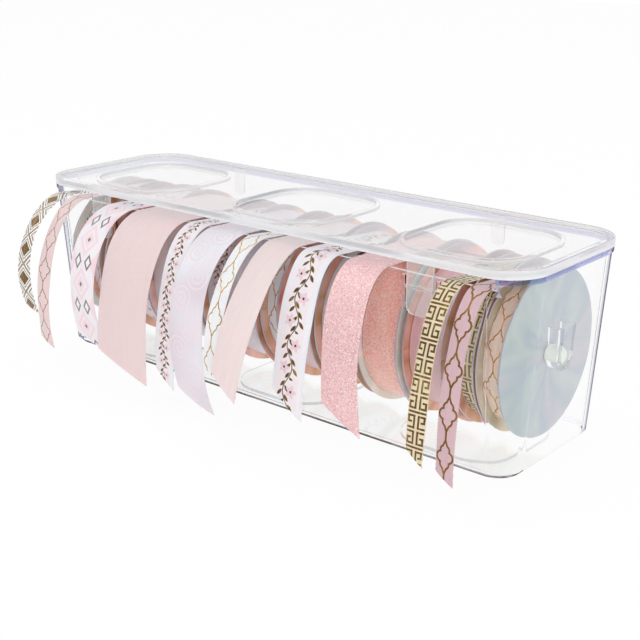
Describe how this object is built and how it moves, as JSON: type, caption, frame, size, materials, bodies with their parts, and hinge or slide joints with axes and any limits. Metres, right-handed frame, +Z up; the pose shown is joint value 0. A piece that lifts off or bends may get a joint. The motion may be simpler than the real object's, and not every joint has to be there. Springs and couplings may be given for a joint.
{
  "type": "ribbon dispenser box",
  "caption": "Clear tapered box with lift-off lid, holding ribbon spools that turn on a rod, with ribbon ends drawn out through a slot under the lid.",
  "frame": {"origin": "middle of the face that the box stands on, under the middle plinth", "axes": "+X along the rod, -Y towards the front where the ribbons come out, +Z up"},
  "size_m": [0.33, 0.1492, 0.105],
  "materials": {
    "clear_box": "clear, polished",
    "clear_lid": "clear, polished",
    "rod_plastic": "satin",
    "flange_board": "pearly",
    "core_board": "matt",
    "ribbon_01": "satin",
    "ribbon_02": "satin",
    "ribbon_03": "satin",
    "ribbon_04": "satin",
    "ribbon_05": "satin",
    "ribbon_06": "satin",
    "ribbon_07": "satin",
    "ribbon_08": "satin",
    "ribbon_09": "satin",
    "ribbon_10": "satin",
    "ribbon_11": "satin",
    "ribbon_12": "satin",
    "ribbon_13": "satin",
    "ribbon_14": "satin"
  },
  "bodies": {
    "box": {"box_body": "clear_box", "ribbon_01_tail": "ribbon_01", "ribbon_02_tail": "ribbon_02", "ribbon_04_tail": "ribbon_04", "ribbon_05_tail": "ribbon_05", "ribbon_06_tail": "ribbon_06", "ribbon_07_tail": "ribbon_07", "ribbon_08_tail": "ribbon_08", "ribbon_09_tail": "ribbon_09", "ribbon_10_tail": "ribbon_10", "ribbon_11_tail": "ribbon_11", "ribbon_13_tail": "ribbon_13", "ribbon_14_tail": "ribbon_14"},
    "lid": {"lid": "clear_lid"},
    "rod": {"spindle_rod": "rod_plastic", "rod_collars": "rod_plastic"},
    "spool_01": {"spool_01_flanges": "flange_board", "spool_01_core": "core_board", "ribbon_01_roll": "ribbon_01"},
    "spool_02": {"spool_02_flanges": "flange_board", "spool_02_core": "core_board", "ribbon_02_roll": "ribbon_02"},
    "spool_03": {"spool_03_flanges": "flange_board", "spool_03_core": "core_board", "ribbon_03_roll": "ribbon_03"},
    "spool_04": {"spool_04_flanges": "flange_board", "spool_04_core": "core_board", "ribbon_04_roll": "ribbon_04"},
    "spool_05": {"spool_05_flanges": "flange_board", "spool_05_core": "core_board", "ribbon_05_roll": "ribbon_05"},
    "spool_06": {"spool_06_flanges": "flange_board", "spool_06_core": "core_board", "ribbon_06_roll": "ribbon_06"},
    "spool_07": {"spool_07_flanges": "flange_board", "spool_07_core": "core_board", "ribbon_07_roll": "ribbon_07"},
    "spool_08": {"spool_08_flanges": "flange_board", "spool_08_core": "core_board", "ribbon_08_roll": "ribbon_08"},
    "spool_09": {"spool_09_flanges": "flange_board", "spool_09_core": "core_board", "ribbon_09_roll": "ribbon_09"},
    "spool_10": {"spool_10_flanges": "flange_board", "spool_10_core": "core_board", "ribbon_10_roll": "ribbon_10"},
    "spool_11": {"spool_11_flanges": "flange_board", "spool_11_core": "core_board", "ribbon_11_roll": "ribbon_11"},
    "spool_12": {"spool_12_flanges": "flange_board", "spool_12_core": "core_board", "ribbon_12_roll": "ribbon_12"},
    "spool_13": {"spool_13_flanges": "flange_board", "spool_13_core": "core_board", "ribbon_13_roll": "ribbon_13"},
    "spool_14": {"spool_14_flanges": "flange_board", "spool_14_core": "core_board", "ribbon_14_roll": "ribbon_14"}
  },
  "joints": [
    {"name": "lid_lift", "type": "slide", "parent": "box", "child": "lid", "axis": [0, 0, 1], "range_m": [0, 0.06]},
    {"name": "rod_spin", "type": "hinge", "parent": "box", "child": "rod", "pos_m": [0, 0, 0.054], "axis": [1, 0, 0], "continuous": true},
    {"name": "spool_01_spin", "type": "hinge", "parent": "rod", "child": "spool_01", "pos_m": [0, 0, 0.054], "axis": [1, 0, 0], "continuous": true},
    {"name": "spool_02_spin", "type": "hinge", "parent": "rod", "child": "spool_02", "pos_m": [0, 0, 0.054], "axis": [1, 0, 0], "continuous": true},
    {"name": "spool_03_spin", "type": "hinge", "parent": "rod", "child": "spool_03", "pos_m": [0, 0, 0.054], "axis": [1, 0, 0], "continuous": true},
    {"name": "spool_04_spin", "type": "hinge", "parent": "rod", "child": "spool_04", "pos_m": [0, 0, 0.054], "axis": [1, 0, 0], "continuous": true},
    {"name": "spool_05_spin", "type": "hinge", "parent": "rod", "child": "spool_05", "pos_m": [0, 0, 0.054], "axis": [1, 0, 0], "continuous": true},
    {"name": "spool_06_spin", "type": "hinge", "parent": "rod", "child": "spool_06", "pos_m": [0, 0, 0.054], "axis": [1, 0, 0], "continuous": true},
    {"name": "spool_07_spin", "type": "hinge", "parent": "rod", "child": "spool_07", "pos_m": [0, 0, 0.054], "axis": [1, 0, 0], "continuous": true},
    {"name": "spool_08_spin", "type": "hinge", "parent": "rod", "child": "spool_08", "pos_m": [0, 0, 0.054], "axis": [1, 0, 0], "continuous": true},
    {"name": "spool_09_spin", "type": "hinge", "parent": "rod", "child": "spool_09", "pos_m": [0, 0, 0.054], "axis": [1, 0, 0], "continuous": true},
    {"name": "spool_10_spin", "type": "hinge", "parent": "rod", "child": "spool_10", "pos_m": [0, 0, 0.054], "axis": [1, 0, 0], "continuous": true},
    {"name": "spool_11_spin", "type": "hinge", "parent": "rod", "child": "spool_11", "pos_m": [0, 0, 0.054], "axis": [1, 0, 0], "continuous": true},
    {"name": "spool_12_spin", "type": "hinge", "parent": "rod", "child": "spool_12", "pos_m": [0, 0, 0.054], "axis": [1, 0, 0], "continuous": true},
    {"name": "spool_13_spin", "type": "hinge", "parent": "rod", "child": "spool_13", "pos_m": [0, 0, 0.054], "axis": [1, 0, 0], "continuous": true},
    {"name": "spool_14_spin", "type": "hinge", "parent": "rod", "child": "spool_14", "pos_m": [0, 0, 0.054], "axis": [1, 0, 0], "continuous": true}
  ]
}
